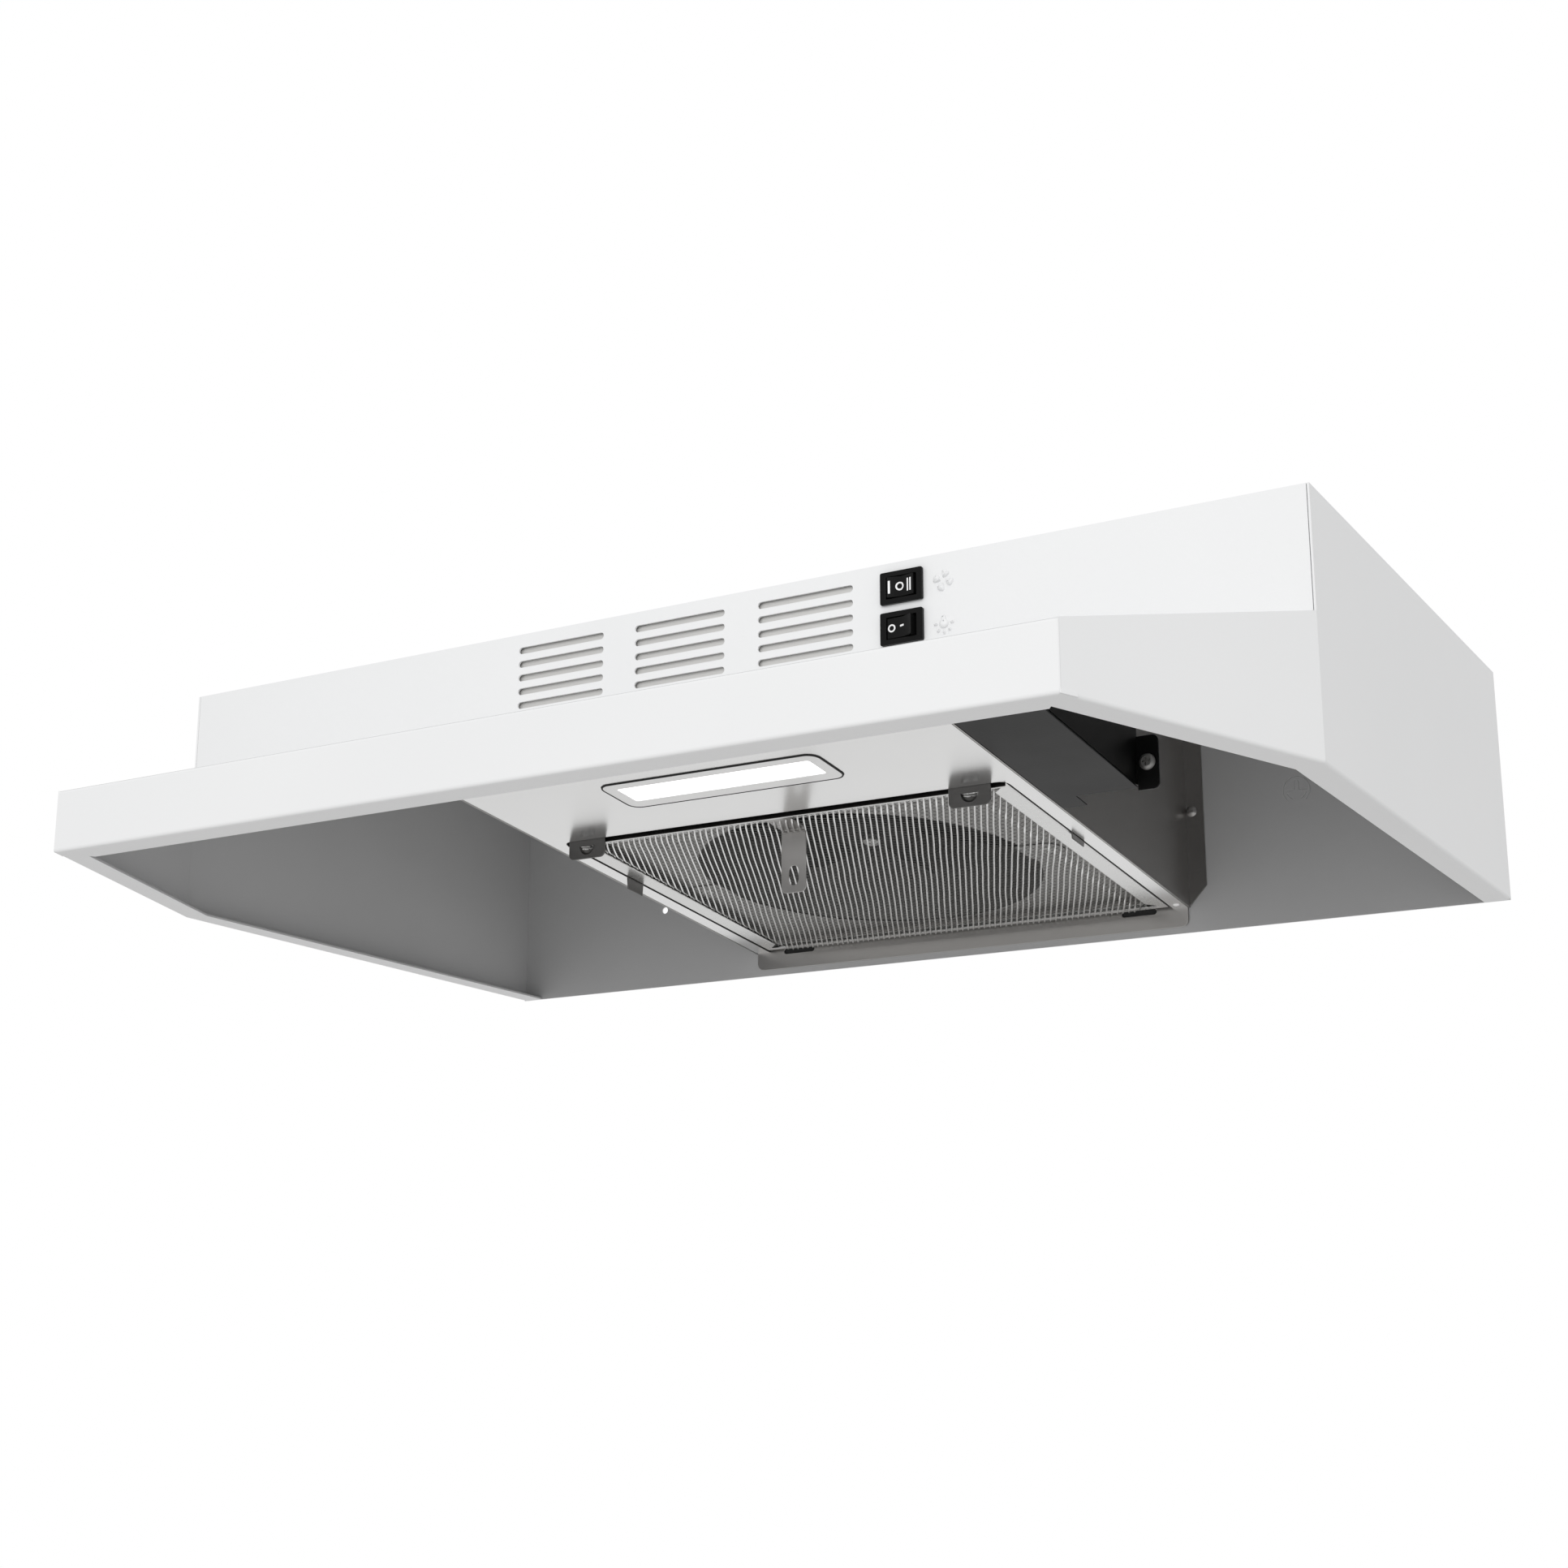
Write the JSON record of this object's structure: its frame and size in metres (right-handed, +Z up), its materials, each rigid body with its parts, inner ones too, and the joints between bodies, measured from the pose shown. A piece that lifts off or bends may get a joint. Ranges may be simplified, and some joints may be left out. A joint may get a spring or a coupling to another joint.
{
  "type": "under cabinet range hood",
  "caption": "Low white sheet-metal cooker hood for the underside of a wall cabinet, with a mitred front visor, vent slots, rocker switches, a lamp and a drop-down mesh grease filter",
  "frame": {"origin": "middle of the top face, where the hood meets the cabinet's underside, between the upper front panel and the wall", "axes": "+X to the user's right, +Y back to the wall, +Z up"},
  "size_m": [0.606, 0.4396, 0.1193],
  "materials": {
    "shell_white": "white powder coat, fine texture, satin",
    "plenum_steel": "satin coated steel, soft reflections",
    "dark_steel": "satin coated steel",
    "bright_steel": "zinc plated",
    "filter_aluminium": "satin rolled aluminium",
    "box_black": "black paint, satin",
    "switch_black": "moulded, semi-gloss",
    "fan_plastic": "moulded, matt",
    "motor_grey": "moulded and painted, matt",
    "lamp_plastic": "moulded, satin",
    "lamp_glow": "opal diffuser, lit",
    "board_white": "white solder mask",
    "lead_grey": "PVC sleeve",
    "grommet_rubber": "moulded"
  },
  "bodies": {
    "hood": {"top_panel": "shell_white", "duct_knockout_plate": "shell_white", "upper_front_panel": "shell_white", "visor_top_panel": "shell_white", "visor_front_panel": "shell_white", "mitre_panel_left": "shell_white", "mitre_panel_right": "shell_white", "side_panel_left": "shell_white", "side_panel_right": "shell_white", "back_panel": "shell_white", "plenum_panel": "plenum_steel", "air_deflector": "plenum_steel", "fan_shroud": "plenum_steel", "motor_bridge": "plenum_steel", "plenum_side_left": "dark_steel", "plenum_side_right": "dark_steel", "plenum_rivet_left": "dark_steel", "plenum_rivet_right": "dark_steel", "filter_catch_left": "dark_steel", "filter_catch_right": "dark_steel", "filter_guide_left": "dark_steel", "filter_guide_right": "dark_steel", "fan_screw_left": "bright_steel", "fan_screw_right": "bright_steel", "wiring_box_screw": "bright_steel", "wiring_box": "box_black", "wiring_cover": "box_black", "fan_switch_body": "switch_black", "light_switch_body": "switch_black", "fan_motor": "motor_grey", "motor_capacitor": "motor_grey", "led_driver": "motor_grey", "lamp_bezel": "lamp_plastic", "lamp_housing": "lamp_plastic", "terminal_block": "lamp_plastic", "lamp_lens": "lamp_glow", "led_board": "board_white", "motor_lead": "lead_grey", "lamp_lead": "lead_grey", "switch_lead": "lead_grey", "motor_grommet": "grommet_rubber", "lamp_grommet": "grommet_rubber", "switch_grommet": "grommet_rubber"},
    "rotor": {"motor_shaft": "bright_steel", "impeller": "fan_plastic", "impeller_nut": "bright_steel"},
    "grease_filter": {"filter_frame": "filter_aluminium", "filter_mesh": "filter_aluminium", "filter_pull_tab": "dark_steel"},
    "fan_key": {"fan_rocker": "switch_black"},
    "light_key": {"light_rocker": "switch_black"}
  },
  "joints": [
    {"name": "impeller_spin", "type": "hinge", "parent": "hood", "child": "rotor", "pos_m": [-0.004, 0.04435, -0.09487], "axis": [0, 0.1049, 0.9945], "continuous": true},
    {"name": "filter_swing", "type": "hinge", "parent": "hood", "child": "grease_filter", "pos_m": [0, 0.14375, -0.10535], "axis": [1, 0, 0], "range_deg": [0, 70]},
    {"name": "fan_rocker_tilt", "type": "hinge", "parent": "hood", "child": "fan_key", "pos_m": [0.1164, -0.14865, -0.01235], "axis": [0, 0, 1], "range_deg": [-12, 12]},
    {"name": "light_rocker_tilt", "type": "hinge", "parent": "hood", "child": "light_key", "pos_m": [0.1164, -0.14865, -0.03135], "axis": [0, 0, 1], "range_deg": [0, 24]}
  ]
}
